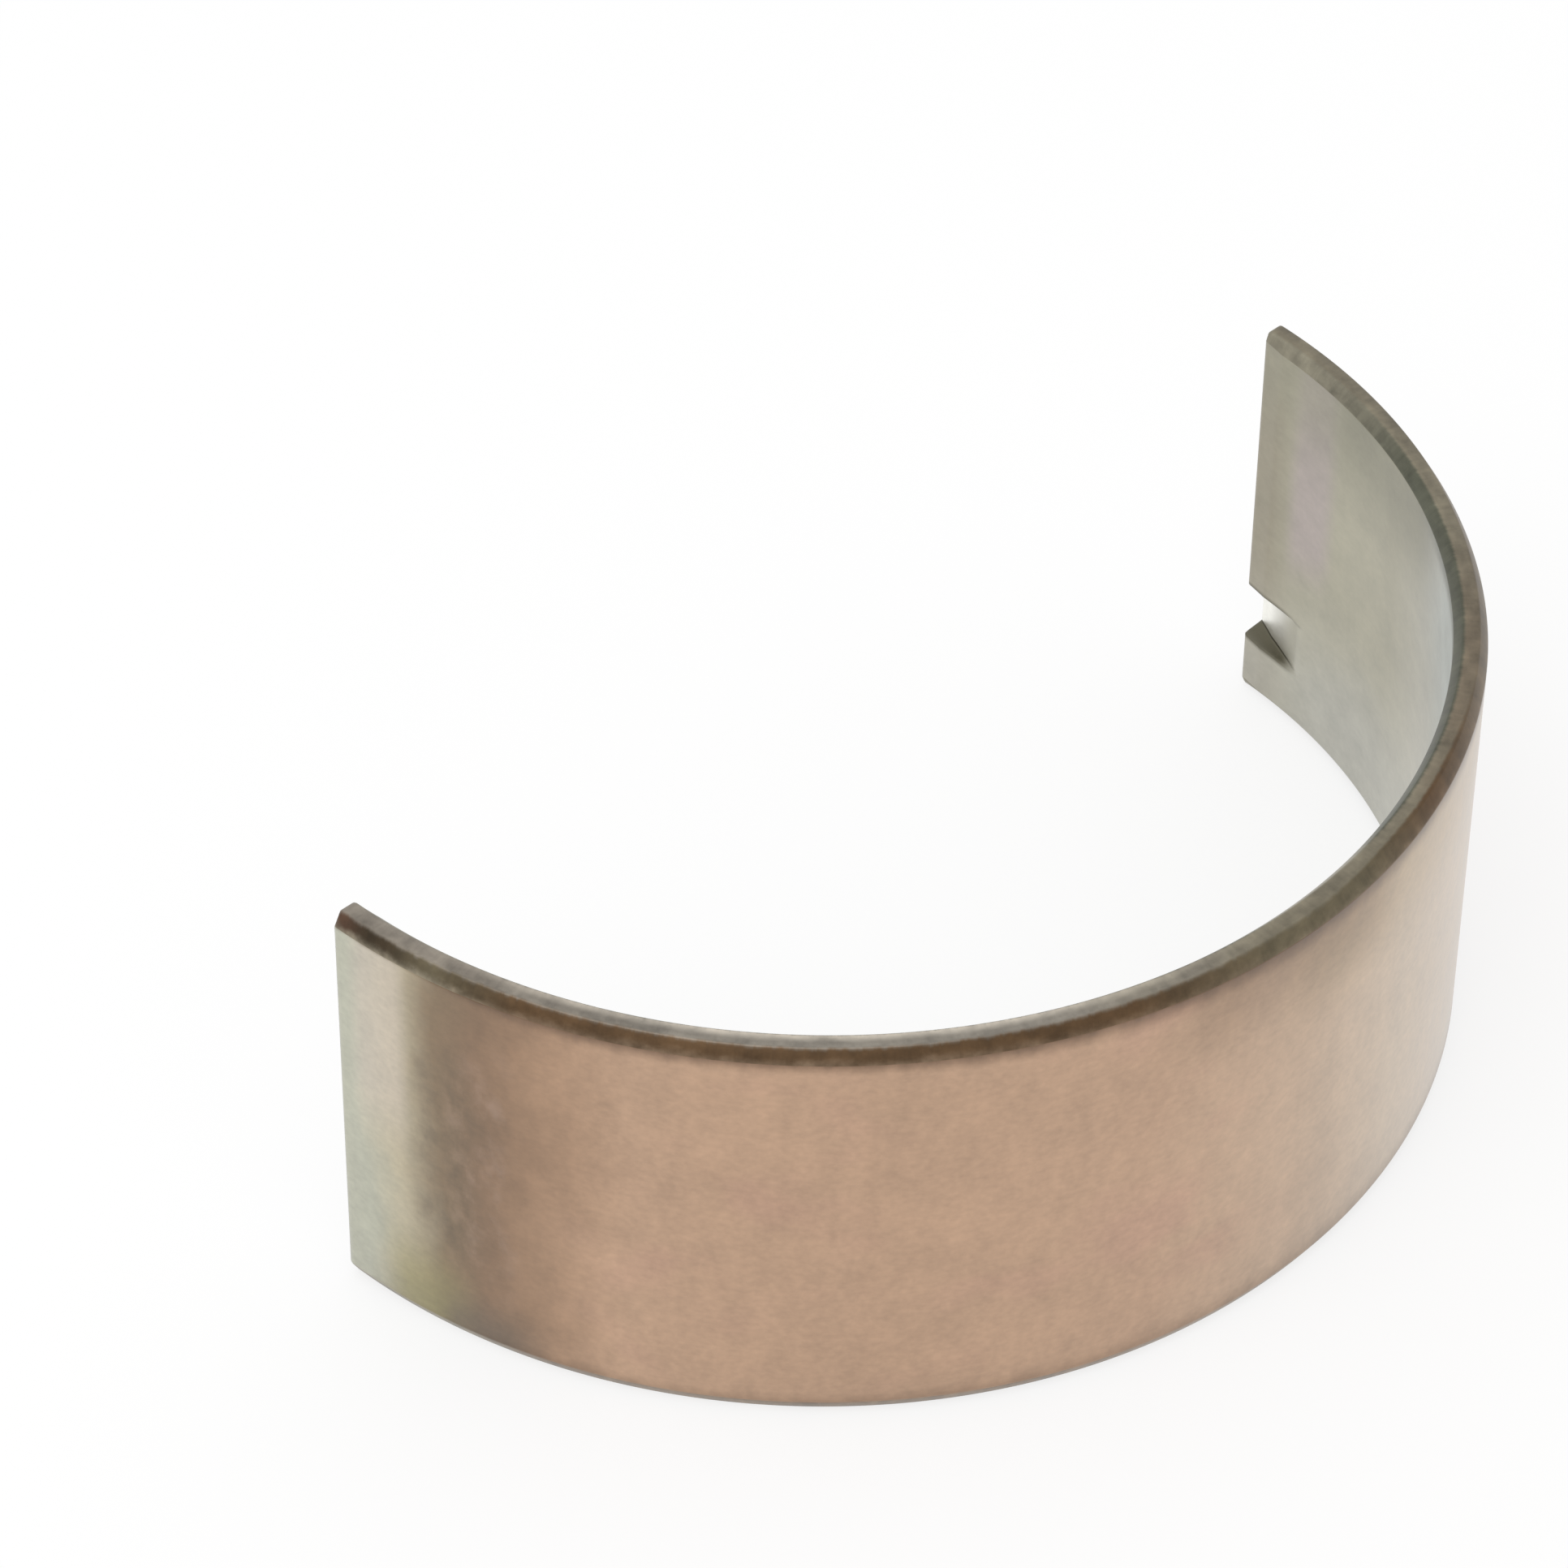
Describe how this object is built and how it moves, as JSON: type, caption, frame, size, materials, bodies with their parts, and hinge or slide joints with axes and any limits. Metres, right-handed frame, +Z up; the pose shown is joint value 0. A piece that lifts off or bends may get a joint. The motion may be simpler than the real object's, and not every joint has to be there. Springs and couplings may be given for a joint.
{
  "type": "engine bearing shell",
  "caption": "Half-round plain bearing shell with a copper-washed steel back, a grey lining, chamfered edges and a pressed locating tang, for a connecting rod's big end.",
  "frame": {"origin": "on the bearing's axis, in the plane of the lower side edge that it stands on", "axes": "+Z up along the bearing's axis, +X towards the end with the tang, the crown towards -Y and both parting faces looking to +Y"},
  "size_m": [0.0576, 0.0274, 0.0205],
  "materials": {
    "shell_metal": "satin copper wash on the back, bare grey lining, dark worn edges"
  },
  "bodies": {
    "root": {"bearing_shell": "shell_metal"}
  },
  "joints": []
}
